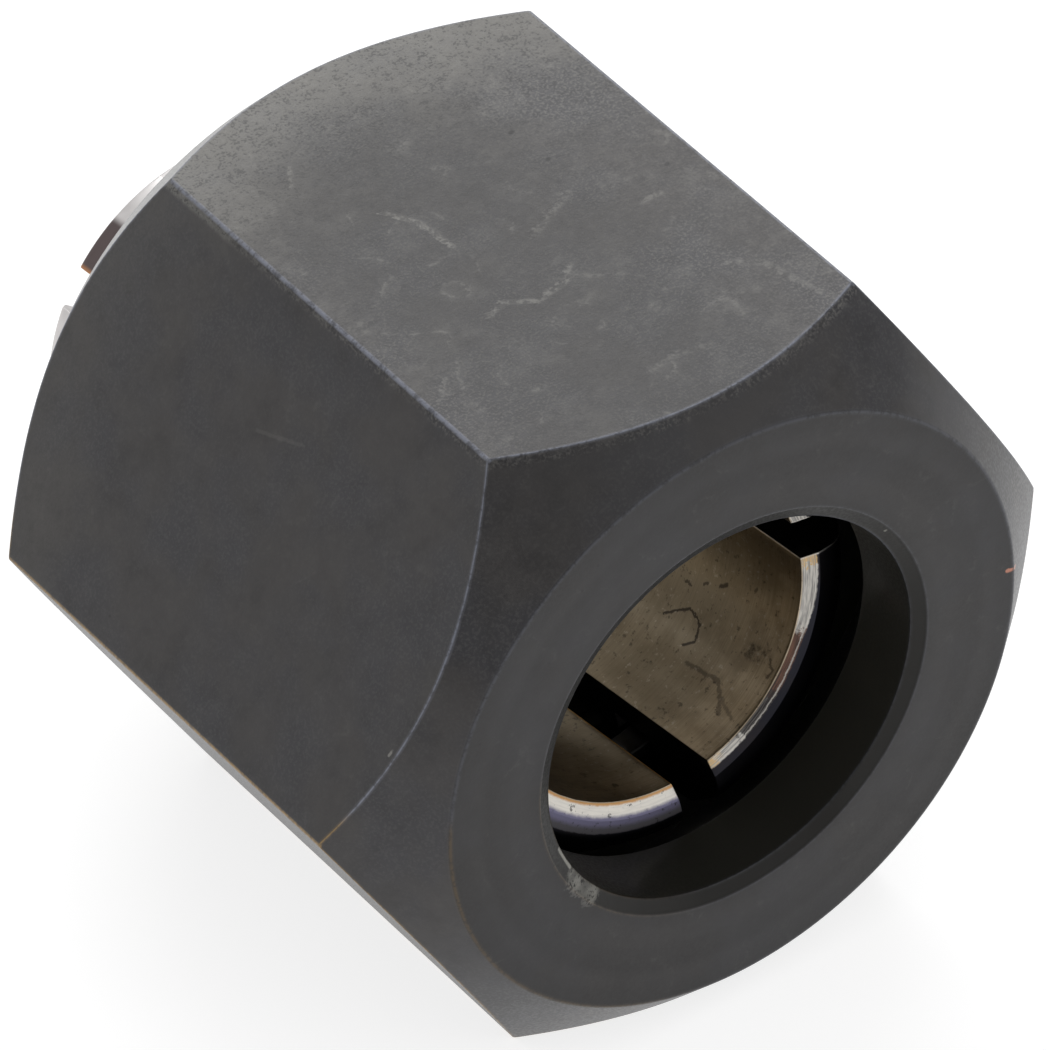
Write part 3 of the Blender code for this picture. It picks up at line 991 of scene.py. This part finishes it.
    def slit_edges(self, colour: Socket, to_slit: Socket) -> Socket:
        """Adds the light lines along the slits' edges that catch the light.

        Args:
            colour: the colour so far.
            to_slit: distance from the middle of the nearest front slit.

        Returns:
            The colour's socket.
        """
        graph = self.graph
        line = graph.times(graph.fade(to_slit, self.slit + 0.03, self.slit + 0.06, 1.0, 0.0),
                           graph.fade(self.along, self.rear - 3.0, self.rear - 2.0, 1.0, 0.0))
        return graph.layers(
            colour,
            (graph.times(line, self.inside, graph.band(self.degrees, *self.AMBER_EDGE), 0.8), self.GOLDEN),
            (graph.times(line, graph.band(self.degrees, *self.PALE_EDGE), 0.6), self.RIM),
        )

    def walls(self, first_slit: float) -> tuple:
        """Finds the slits' walls, which are painted near black as painted shade.

        Args:
            first_slit: angle of the first slit.

        Returns:
            The mask's socket, and that of the distance from the middle of the nearest front slit.
        """
        graph = self.graph
        feeds = {"Vector": self.local, "Angle": first_slit}
        across, up, _ = graph.parts(graph.node("ShaderNodeVectorRotate", feeds, rotation_type="Z_AXIS").outputs[0])
        first = graph.math("MINIMUM", graph.math("ABSOLUTE", across), graph.math("ABSOLUTE", up))
        total = graph.math("ABSOLUTE", graph.math("ADD", across, up))
        other = graph.math("ABSOLUTE", graph.math("SUBTRACT", across, up))
        second = graph.times(graph.math("MINIMUM", total, other), math.sqrt(0.5))
        front, back = (graph.fade(near, self.slit + 0.004, self.slit + 0.02, 1.0, 0.0) for near in (first, second))
        back = graph.times(back, graph.fade(self.along, self.rear_slit - 0.1, self.rear_slit))
        return graph.math("MAXIMUM", front, back), first


class SpringSteel(Finish):
    """Tempered spring steel, dark with an oil-brown tint."""

    GREY = (0.045, 0.043, 0.042, 1.0)
    BROWN = (0.03, 0.026, 0.022, 1.0)
    CLOUD = (1.2, 4.0, 0.6)
    GRAIN = (14.0, 3.0, 0.6)
    RELIEF = 0.003 * MM

    def __init__(self) -> None:
        """Builds the whole material."""
        super().__init__("spring_steel")
        graph = self.graph
        cloud = graph.noise(self.place, *self.CLOUD)
        colour = graph.blend(graph.fade(cloud, 0.35, 0.7), self.GREY, self.BROWN)
        fine = graph.noise(self.place, *self.GRAIN)
        self.set(Base_Color=colour, Metallic=1.0, Roughness=graph.fade(fine, 0.3, 0.7, 0.28, 0.42),
                 Normal=graph.bump(fine, self.RELIEF))


@dataclass(frozen=True)
class HexagonColumn:
    """One line of vertices along the nut, on its hexagonal outline.

    Attributes:
        angle: angle round the axis.
        reach: distance of the outline from the axis there.
        corner: one on the rounding of a long edge, zero on a flat.
    """

    angle: float
    reach: float
    corner: float


@dataclass
class ClampingNut:
    """The nut's outside and inside, as one closed skin."""

    measures: Measures
    long_edge: float = 0.08 * MM
    mouth_bevel_depth: float = 0.18 * MM
    rear_edge_break: float = 0.2 * MM
    thread_depth: float = 0.4 * MM
    end_edge_fillet: float = 0.12 * MM
    flat_edge_fillet: float = 0.06 * MM
    small_fillet: float = 0.05 * MM
    flat_cells: int = 36
    corner_cells: int = 6
    first_flat: float = math.radians(30.0)
    edge_waves: float = 9.0
    edge_spread: float = 0.6
    sharp_angle: float = math.radians(50.0)

    @property
    def crest(self) -> float:
        """Radius of the thread's crests, which the solids show as a plain cylinder."""
        return self.measures.axis_height - self.measures.thread_wall

    @property
    def root(self) -> float:
        """Radius of the thread's roots."""
        return self.crest + self.thread_depth

    def columns(self) -> list:
        """Divides the hexagon's outline, flats and rounded long edges in turn.

        Returns:
            The columns in order round the axis.
        """
        half = self.measures.axis_height
        side = half * math.tan(math.pi / 6)
        flat_end = side - self.long_edge
        rounding = self.long_edge / math.tan(math.pi / 6)
        found = []
        for index in range(6):
            normal = self.first_flat + index * math.pi / 3
            steps = [-flat_end + 2 * flat_end * step / self.flat_cells for step in range(self.flat_cells + 1)]
            steps.insert(1, -flat_end + self.small_fillet)
            steps.insert(-1, flat_end - self.small_fillet)
            for step in steps:
                found.append(HexagonColumn(normal + math.atan2(step, half), math.hypot(step, half), 0.0))
            centre = Vector((half - rounding, flat_end))
            for cell in range(1, self.corner_cells):
                turn = math.pi / 3 * cell / self.corner_cells
                place = centre + Vector((math.cos(turn), math.sin(turn))) * rounding
                worn_and_sheen = math.sin(math.pi * cell / self.corner_cells)
                found.append(HexagonColumn(normal + math.atan2(place.y, place.x), place.length, worn_and_sheen))
        return found

    def section(self, column: HexagonColumn) -> Section:
        """Draws the nut's section at a column.

        Args:
            column: the column, whose reach sets where flat and chamfer meet.

        Returns:
            The closed section, starting at the mouth's bevel.
        """
        sizes = self.measures
        reach = column.reach
        length = sizes.nut_length
        meeting = (reach - sizes.end_face_radius) * sizes.chamfer_slope
        chamber = sizes.axis_height - sizes.chamber_wall
        cone_end = sizes.lip_depth + chamber - sizes.mouth
        thread_end = sizes.chamber_end + sizes.thread_length
        rear = sizes.axis_height - sizes.rear_bore_wall
        toward = Vector((math.cos(column.angle), math.sin(column.angle), 0.0))
        uneven = noise.noise(toward * self.edge_waves)
        flat_fillet = self.flat_edge_fillet * (1.0 + self.edge_spread * uneven)
        small = self.small_fillet
        return Section((
            Corner(sizes.mouth + sizes.mouth_bevel, 0.0, small, 3, 0.15, 10),
            Corner(sizes.end_face_radius, 0.0, self.end_edge_fillet, 4, 0.2, 10),
            Corner(reach, meeting, flat_fillet, 4, 1.0, 30, milled=True),
            Corner(reach, length - meeting, flat_fillet, 4, 1.0, 10),
            Corner(sizes.end_face_radius, length, self.end_edge_fillet, 4, 0.35, 4),
            Corner(rear + self.rear_edge_break, length, small, 3, 0.4, 1),
            Corner(rear, length - self.rear_edge_break, small, 3, 0.4, 4),
            Corner(rear, thread_end, small, 3, 0.0, 1),
            Corner(self.root, thread_end - (rear - self.root), small, 3, 0.0, 6),
            Corner(self.root, sizes.chamber_end, small, 3, 0.0, 1),
            Corner(chamber, sizes.chamber_end, 0.0, 1, 0.0, 4),
            Corner(chamber, cone_end, small, 3, 0.0, 4),
            Corner(sizes.mouth, sizes.lip_depth, small, 3, 0.3, 4),
            Corner(sizes.mouth, self.mouth_bevel_depth, small, 3, 0.45, 3),
        ))

    def build(self) -> bpy.types.Object:
        """Builds the skin as a grid of columns and rows, closed both ways.

        Returns:
            The nut's object.
        """
        axis = self.measures.nut
        shape = bmesh.new()
        edge = shape.verts.layers.float.new(WEAR_AND_SHEEN)
        grid = []
        for column in self.columns():
            line = []
            for place in self.section(column).points():
                vertex = shape.verts.new(axis.point(place.radius, column.angle, place.along))
                vertex[edge] = max(place.wear_and_sheen, column.corner if place.milled else 0.0)
                line.append(vertex)
            grid.append(line)
        for line, after in zip(grid, grid[1:] + grid[:1]):
            for row in range(len(line)):
                shape.faces.new((line[row - 1], line[row], after[row], after[row - 1]))
        Workshop.close(shape)
        nut = Workshop.cast("nut_skin", shape)
        nut.data.shade_smooth()
        nut.data.set_sharp_from_angle(angle=self.sharp_angle)
        return nut

    def dress(self, finish: Finish) -> bpy.types.Object:
        """Builds the nut, paints it and ties it to the frame.

        Args:
            finish: its finish.

        Returns:
            The finished piece.
        """
        nut = self.build()
        Workshop.paint(nut, finish)
        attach(nut, Body.NUT.value)
        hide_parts("collet_nut")
        return nut


class SweepTree:
    """A Geometry Nodes tree with named inputs that ends in plain, painted geometry."""

    KINDS = {int: "NodeSocketInt", float: "NodeSocketFloat", bpy.types.Material: "NodeSocketMaterial"}

    def __init__(self, name: str, **sizes: object) -> None:
        """Starts the tree with its inputs.

        Args:
            name: name of the tree.
            **sizes: a value for each input: a whole number, a number or a material.
        """
        self.tree = bpy.data.node_groups.new(name, "GeometryNodeTree")
        self.graph = Graph(self.tree)
        self.tree.interface.new_socket(name="Geometry", in_out="OUTPUT", socket_type="NodeSocketGeometry")
        self.values = {}
        for size, value in sizes.items():
            item = self.tree.interface.new_socket(name=size, in_out="INPUT", socket_type=self.KINDS[type(value)])
            self.values[item.identifier] = value
        self.given = self.graph.node("NodeGroupInput").outputs

    def sweep(self, curve: Socket, profile: Socket, scale: object = 1.0) -> None:
        """Ends the tree: a profile swept along an upright curve, shaded, realized and painted.

        Args:
            curve: the curve's socket.
            profile: the profile's socket.
            scale: the profile's size along the curve.
        """
        graph = self.graph
        upright = graph.node("GeometryNodeSetCurveNormal", {"Curve": curve}, mode="Z_UP")
        swept = graph.node("GeometryNodeCurveToMesh", {
            "Curve": upright.outputs[0], "Profile Curve": profile, "Scale": scale, "Fill Caps": True})
        smooth = graph.node("GeometryNodeSetShadeSmooth", {"Geometry": swept.outputs[0]})
        real = graph.node("GeometryNodeRealizeInstances", {"Geometry": smooth.outputs[0]})
        painted = graph.node("GeometryNodeSetMaterial", {
            "Geometry": real.outputs[0], "Material": self.given["Material"]})
        graph.node("NodeGroupOutput", {0: painted.outputs[0]})

    def make(self, name: str) -> bpy.types.Object:
        """Runs the tree and keeps its result as a plain mesh.

        Args:
            name: name of the piece.

        Returns:
            The piece's object, in the tree's own coordinates.
        """
        obj = Workshop.add(name, bpy.data.meshes.new(name))
        modifier = obj.modifiers.new(name, "NODES")
        modifier.node_group = self.tree
        for identifier, value in self.values.items():
            modifier[identifier] = value
        return Workshop.settle(obj)


@dataclass
class NutThread:
    """The fine right-handed thread inside the nut."""

    measures: Measures
    root: float
    depth: float
    pitch: float = 0.75 * MM
    seat: float = 0.03 * MM
    crest_width: float = 0.17 * MM
    root_width: float = 0.66 * MM
    lead_in: float = 0.05
    smallest: float = 0.02
    steps_per_turn: int = 72
    sharp_angle: float = math.radians(30.0)

    def tree(self, material: bpy.types.Material) -> SweepTree:
        """Builds the tree: a helix, and a blunt ridge swept along it.

        Args:
            material: the ridge's material.

        Returns:
            The tree.
        """
        length = self.measures.thread_length - self.root_width
        tree = SweepTree(
            "nut_thread", Root=self.root + self.seat, Length=length, Turns=length / self.pitch,
            Steps=self.steps_per_turn, Depth=self.depth + self.seat, Foot=self.root_width,
            Crest=self.crest_width, Lead=self.lead_in, Material=material)
        graph, given = tree.graph, tree.given
        helix = graph.node("GeometryNodeCurveSpiral", {
            "Resolution": given["Steps"], "Rotations": given["Turns"], "Start Radius": given["Root"],
            "End Radius": given["Root"], "Height": given["Length"]})
        ridge = graph.node("GeometryNodeCurvePrimitiveQuadrilateral", {
            "Height": given["Depth"], "Bottom Width": given["Foot"], "Top Width": given["Crest"],
            "Offset": 0.0}, mode="TRAPEZOID")
        lift = graph.combine(0.0, graph.times(given["Depth"], 0.5))
        seated = graph.node("GeometryNodeTransform", {"Geometry": ridge.outputs[0], "Translation": lift})
        share = graph.node("GeometryNodeSplineParameter").outputs["Factor"]
        rise = graph.fade(share, 0.0, given["Lead"])
        fall = graph.fade(graph.math("SUBTRACT", 1.0, share), 0.0, given["Lead"])
        size = graph.math("MAXIMUM", graph.times(rise, fall), self.smallest)
        tree.sweep(helix.outputs[0], seated.outputs[0], size)
        return tree

    def dress(self, finish: Finish) -> bpy.types.Object:
        """Builds the thread, puts it in the nut and ties it to the frame.

        Args:
            finish: its finish.

        Returns:
            The finished piece.
        """
        thread = self.tree(finish.material).make("nut_thread")
        start = self.measures.chamber_end + self.root_width / 2
        thread.data.transform(self.measures.nut.matrix() @ Matrix.Translation((0.0, 0.0, start)))
        thread.data.set_sharp_from_angle(angle=self.sharp_angle)
        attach(thread, Body.NUT.value)
        return thread


@dataclass
class RetainingRing:
    """The flat split ring in the collet's groove."""

    measures: Measures
    gap: float = 2.6 * MM
    gap_angle: float = math.radians(127.0)
    edge: float = 0.08 * MM
    edge_facets: int = 3
    steps: int = 160
    sharp_angle: float = math.radians(40.0)

    def tree(self, material: bpy.types.Material) -> SweepTree:
        """Builds the tree: an open arc, and a rounded rectangle swept along it.

        Args:
            material: the ring's material.

        Returns:
            The tree.
        """
        sizes = self.measures
        middle = (sizes.ring_outer + sizes.ring_inner) / 2
        half_gap = math.asin(self.gap / 2 / middle)
        tree = SweepTree(
            "retaining_ring", Radius=middle, Start=self.gap_angle + half_gap,
            Sweep=2 * math.pi - 2 * half_gap, Width=sizes.ring_width, Thickness=sizes.ring_thickness,
            Edge=self.edge, Facets=self.edge_facets, Steps=self.steps, Material=material)
        graph, given = tree.graph, tree.given
        arc = graph.node("GeometryNodeCurveArc", {
            "Resolution": given["Steps"], "Radius": given["Radius"], "Start Angle": given["Start"],
            "Sweep Angle": given["Sweep"]}, mode="RADIUS")
        blank = graph.node("GeometryNodeCurvePrimitiveQuadrilateral", {
            "Width": given["Width"], "Height": given["Thickness"]}, mode="RECTANGLE")
        eased = graph.node("GeometryNodeFilletCurve", {
            "Curve": blank.outputs[0], "Radius": given["Edge"], "Count": given["Facets"]}, mode="POLY")
        tree.sweep(arc.outputs[0], eased.outputs[0])
        return tree

    def dress(self, finish: Finish) -> bpy.types.Object:
        """Builds the ring, puts it on the collet's axis and ties it to the frame.

        Args:
            finish: its finish.

        Returns:
            The finished piece.
        """
        ring = self.tree(finish.material).make("split_ring")
        ring.data.transform(self.measures.collet.matrix())
        ring.data.set_sharp_from_angle(angle=self.sharp_angle)
        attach(ring, Body.RING.value)
        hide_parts("retaining_ring")
        return ring


@dataclass
class SlitCollet:
    """The turned sleeve with four slits from its front and four from its rear."""

    measures: Measures
    entry_width: float = 0.4 * MM
    entry_depth: float = 0.16 * MM
    front_wall: float = 0.5 * MM
    front_rounding: float = 0.5 * MM
    head_land: float = 1.14 * MM
    taper_length: float = 13.4 * MM
    taper_half_angle: float = math.radians(2.0)
    tail_wall: float = 0.77 * MM
    tail_edge: float = 0.3 * MM
    tail_bore_edge: float = 0.15 * MM
    slit_count: int = 4
    slit_width: float = 1.0 * MM
    front_slit_end: float = 10.6 * MM
    rear_slit_start: float = 3.9 * MM
    first_slit: float = math.radians(7.6)
    edge_bevel: float = 0.045 * MM
    edge_facets: int = 3
    lip_fillet: float = 0.04 * MM
    head_fillet: float = 0.16 * MM
    tail_fillet: float = 0.12 * MM
    entry_fillet: float = 0.03 * MM
    small_fillet: float = 0.06 * MM
    petal_cells: int = 12
    slit_cells: int = 2
    support: float = 0.08 * MM
    sharp_angle: float = math.radians(50.0)
    normal_weight: int = 80

    @property
    def groove_half(self) -> float:
        """Half the width of the groove."""
        return self.measures.ring_thickness / 2 + self.measures.groove_clearance

    @property
    def shoulder(self) -> float:
        """Where the head's land begins."""
        return -self.groove_half - self.head_land

    @property
    def front_edge(self) -> float:
        """Radius of the front face's edge before its rounding."""
        return self.measures.bore + self.front_wall + self.front_rounding

    @property
    def front(self) -> float:
        """Where the front face is."""
        return self.shoulder - (self.measures.head_radius - self.front_edge) - self.front_rounding

    @property
    def rear(self) -> float:
        """Where the tail's end face is."""
        return self.groove_half + self.taper_length

    @property
    def tail(self) -> float:
        """Radius of the tail's end before its edge break."""
        return self.measures.bore + self.tail_wall

    def taper(self, along: float) -> float:
        """Returns the taper's radius at a distance along the axis."""
        return self.tail + (self.rear - along) * math.tan(self.taper_half_angle)

    def outline(self) -> list:
        """Draws the closed section, with a corner at each slit's end outside and inside.

        Returns:
            The section's points in order.
        """
        bore = self.measures.bore
        head = self.measures.head_radius
        floor = self.measures.groove_floor
        half = self.groove_half
        small = self.small_fillet
        section = Section((
            Corner(bore + self.entry_width, self.front, self.lip_fillet, 3, cells=1),
            Corner(self.front_edge, self.front, self.front_rounding, 9, cells=5),
            Corner(head, self.shoulder, self.head_fillet, 4, cells=4),
            Corner(head, -half, small, 2, cells=2),
            Corner(floor, -half, small, 2, cells=2),
            Corner(floor, half, small, 2, cells=2),
            Corner(self.taper(half), half, small, 2, cells=6),
            Corner(self.taper(self.rear_slit_start), self.rear_slit_start, cells=10),
            Corner(self.taper(self.front_slit_end), self.front_slit_end, cells=5),
            Corner(self.tail, self.rear - self.tail_edge, self.tail_fillet, 3, cells=1),
            Corner(self.tail - self.tail_edge, self.rear, small, 2, cells=1),
            Corner(bore + self.tail_bore_edge, self.rear, small, 2, cells=1),
            Corner(bore, self.rear - self.tail_bore_edge, small, 2, cells=5),
            Corner(bore, self.front_slit_end, cells=10),
            Corner(bore, self.rear_slit_start, cells=10),
            Corner(bore, self.front + self.entry_depth, self.entry_fillet, 3, cells=4),
        ), self.support)
        return section.points()

    def lines(self) -> list:
        """Divides the sleeve into lines of vertices along the axis.

        Returns:
            Pairs of a sector's number, even for a slit and odd for a petal, and a share from zero to one.
        """
        found = []
        for sector in range(4 * self.slit_count):
            cells = self.petal_cells if sector % 2 else self.slit_cells
            found.extend((sector, cell / cells) for cell in range(cells))
        return found

    def angle(self, sector: int, share: float, radius: float) -> float:
        """Works out the angle of a line at a radius, so that every slit has parallel walls.

        Args:
            sector: number of the sector.
            share: share of the way across it.
            radius: radius where the angle is wanted.

        Returns:
            The angle round the axis.
        """
        pitch = math.pi / self.slit_count
        half_slit = math.asin(self.slit_width / 2 / radius)
        centre = self.first_slit + sector // 2 * pitch
        if sector % 2:
            low = centre + half_slit
            return low + share * (pitch - 2 * half_slit)
        return centre + (2 * share - 1) * half_slit

    def is_cut(self, sector: int, first: SectionPoint, second: SectionPoint) -> bool:
        """Says whether a slit takes away the face between two points of the outline.

        Args:
            sector: number of the sector.
            first: one point of the outline.
            second: the next point.

        Returns:
            True where the face is cut away.
        """
        if sector % 2:
            return False
        middle = (first.along + second.along) / 2
        if sector // 2 % 2:
            return middle > self.rear_slit_start
        return middle < self.front_slit_end

    def build(self) -> bpy.types.Object:
        """Builds the sleeve: a grid round the axis without the slits' faces, and the slits' own walls.

        Returns:
            The collet's object, with its edges broken.
        """
        axis = self.measures.collet
        outline = self.outline()
        lines = self.lines()
        shape = bmesh.new()
        grid = []
        for sector, share in lines:
            grid.append([
                shape.verts.new(axis.point(p.radius, self.angle(sector, share, p.radius), p.along))
                for p in outline
            ])
        count = len(outline)
        for index, (sector, _) in enumerate(lines):
            after = grid[(index + 1) % len(grid)]
            for row in range(count):
                below = (row + 1) % count
                if not self.is_cut(sector, outline[row], outline[below]):
                    shape.faces.new((grid[index][row], grid[index][below], after[below], after[row]))
        self.add_walls(shape, grid, outline, lines)
        loose = [vertex for vertex in shape.verts if not vertex.link_faces]
        bmesh.ops.delete(shape, geom=loose, context="VERTS")
        Workshop.close(shape)
        collet = Workshop.cast("slit_collet", shape)
        collet.data.shade_smooth()
        bevel = collet.modifiers.new("edges", "BEVEL")
        bevel.width = self.edge_bevel
        bevel.segments = self.edge_facets
        bevel.limit_method = "ANGLE"
        bevel.angle_limit = self.sharp_angle
        weighted = collet.modifiers.new("normals", "WEIGHTED_NORMAL")
        weighted.weight = self.normal_weight
        return Workshop.settle(collet)

    def add_walls(self, shape: bmesh.types.BMesh, grid: list, outline: list, lines: list) -> None:
        """Adds both side walls and the end wall of each slit.

        Args:
            shape: the mesh.
            grid: its vertices, by line and by point of the outline.
            outline: the section's points.
            lines: the sector and share of each line.
        """
        count = len(outline)
        for start, (sector, share) in enumerate(lines):
            if sector % 2 or share > 0.0:
                continue
            cut = [row for row in range(count)
                   if self.is_cut(sector, outline[row], outline[(row + 1) % count])]
            first = next(row for row in cut if (row - 1) % count not in cut)
            chain = [(first + step) % count for step in range(len(cut) + 1)]
            end = start + self.slit_cells
            for line in (start, end % len(lines)):
                shape.faces.new([grid[line][row] for row in chain])
            for line in range(start, end):
                here = grid[line]
                after = grid[(line + 1) % len(lines)]
                shape.faces.new((here[chain[0]], after[chain[0]], after[chain[-1]], here[chain[-1]]))

    def dress(self, finish: Finish) -> bpy.types.Object:
        """Builds the collet, paints it and ties it to the frame.

        Args:
            finish: its finish.

        Returns:
            The finished piece.
        """
        collet = self.build()
        Workshop.paint(collet, finish)
        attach(collet, Body.COLLET.value)
        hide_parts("collet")
        return collet


@dataclass(frozen=True)
class Lobe:
    """A broad soft patch of the room's light.

    Attributes:
        direction: direction from the part toward its middle.
        low: cosine from the middle where it begins.
        high: cosine from the middle where it is full.
        amount: its brightness.
    """

    direction: tuple
    low: float
    high: float
    amount: float


@dataclass
class Studio:
    """Camera, floor, room and one soft light."""

    measures: Measures
    floor_size: float = 6.0
    floor_glow: float = 0.76
    floor_colour: tuple = (0.42, 0.42, 0.42, 1.0)
    white: tuple = (1.0, 1.0, 1.0, 1.0)
    camera_place: tuple = (-0.12202, -0.18092, 0.19533)
    camera_right: tuple = (0.8127, -0.5818, -0.0325)
    camera_back: tuple = (-0.4248, -0.6297, 0.6505)
    lens: float = 439.18
    sensor: float = 36.0
    nearest: float = 0.01
    farthest: float = 20.0
    key_toward: tuple = (0.42, 0.63, 0.65)
    key_distance: float = 0.35
    key_size: float = 0.30
    key_radiance: float = 2.15
    ambient: float = 0.12
    lobes: tuple = (
        Lobe((0.0, 0.0, 1.0), 0.15, 0.8, 0.40),
        Lobe((0.2, 0.97, 0.0), 0.3, 0.8, 0.50),
        Lobe((-0.78, 0.62, 0.05), 0.55, 0.95, 0.45),
        Lobe((0.5, -0.86, 0.1), 0.6, 0.95, 0.50),
        Lobe((0.43, -0.67, 0.6), 0.7, 1.0, 0.38),
        Lobe((-0.7, -0.72, 0.1), 0.75, 1.0, 0.30),
    )

    def camera(self) -> None:
        """Adds the camera at the photograph's place."""
        data = bpy.data.cameras.new("camera")
        data.lens = self.lens
        data.sensor_width = self.sensor
        data.clip_start = self.nearest
        data.clip_end = self.farthest
        camera = Workshop.add("camera", data)
        back = Vector(self.camera_back).normalized()
        right = Vector(self.camera_right)
        right = (right - back * right.dot(back)).normalized()
        turn = Matrix((right, back.cross(right), back)).transposed().to_4x4()
        camera.matrix_world = Matrix.Translation(self.camera_place) @ turn
        bpy.context.scene.camera = camera

    def floor(self) -> None:
        """Adds the pale floor."""
        shape = bmesh.new()
        bmesh.ops.create_grid(shape, x_segments=1, y_segments=1, size=self.floor_size / 2)
        floor = Workshop.cast("floor", shape)
        finish = Finish("floor_paper")
        finish.set(Base_Color=self.floor_colour, Roughness=0.9, Emission_Color=self.white,
                   Emission_Strength=self.floor_glow)
        Workshop.paint(floor, finish)

    def sky(self) -> None:
        """Adds the light of the room: a dim dome with broad soft patches."""
        world = bpy.data.worlds.new("room")
        world.use_nodes = True
        graph = Graph(world.node_tree)
        toward = graph.node("ShaderNodeTexCoord").outputs["Generated"]
        brightness = self.ambient
        for lobe in self.lobes:
            facing = graph.vector("DOT_PRODUCT", toward, Vector(lobe.direction).normalized())
            brightness = graph.math("ADD", brightness, graph.fade(facing, lobe.low, lobe.high, 0.0, lobe.amount))
        shine = world.node_tree.nodes["Background"]
        graph.feed(shine.inputs["Strength"], brightness)
        graph.feed(shine.inputs["Color"], self.white)
        bpy.context.scene.world = world

    def key(self) -> None:
        """Adds the soft light, which shines from behind on the right."""
        data = bpy.data.lights.new("key", "AREA")
        data.size = self.key_size
        data.energy = self.key_radiance * math.pi * self.key_size ** 2
        light = Workshop.add("key", data)
        toward = Vector(self.key_toward).normalized()
        light.location = Vector((0.0, 0.0, self.measures.axis_height)) + toward * self.key_distance
        light.rotation_mode = "QUATERNION"
        light.rotation_quaternion = toward.to_track_quat("Z", "Y")

    def build(self) -> None:
        """Adds everything round the part."""
        self.camera()
        self.floor()
        self.sky()
        self.key()
        bpy.context.scene.view_settings.view_transform = "Standard"


def main() -> None:
    """Builds every piece, the studio and the record of sizes."""
    logging.basicConfig(level=logging.INFO, format="%(message)s")
    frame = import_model()
    measures = Measures.from_frame(frame["joints"])
    black_oxide = BlackOxide(measures)
    nut = ClampingNut(measures)
    Workshop.report(nut.dress(black_oxide))
    thread = NutThread(measures, nut.root, nut.thread_depth)
    Workshop.report(thread.dress(black_oxide))
    Workshop.report(RetainingRing(measures).dress(SpringSteel()))
    collet = SlitCollet(measures)
    Workshop.report(collet.dress(GroundSteel(collet)))
    Studio(measures).build()


if __name__ == "__main__":
    main()
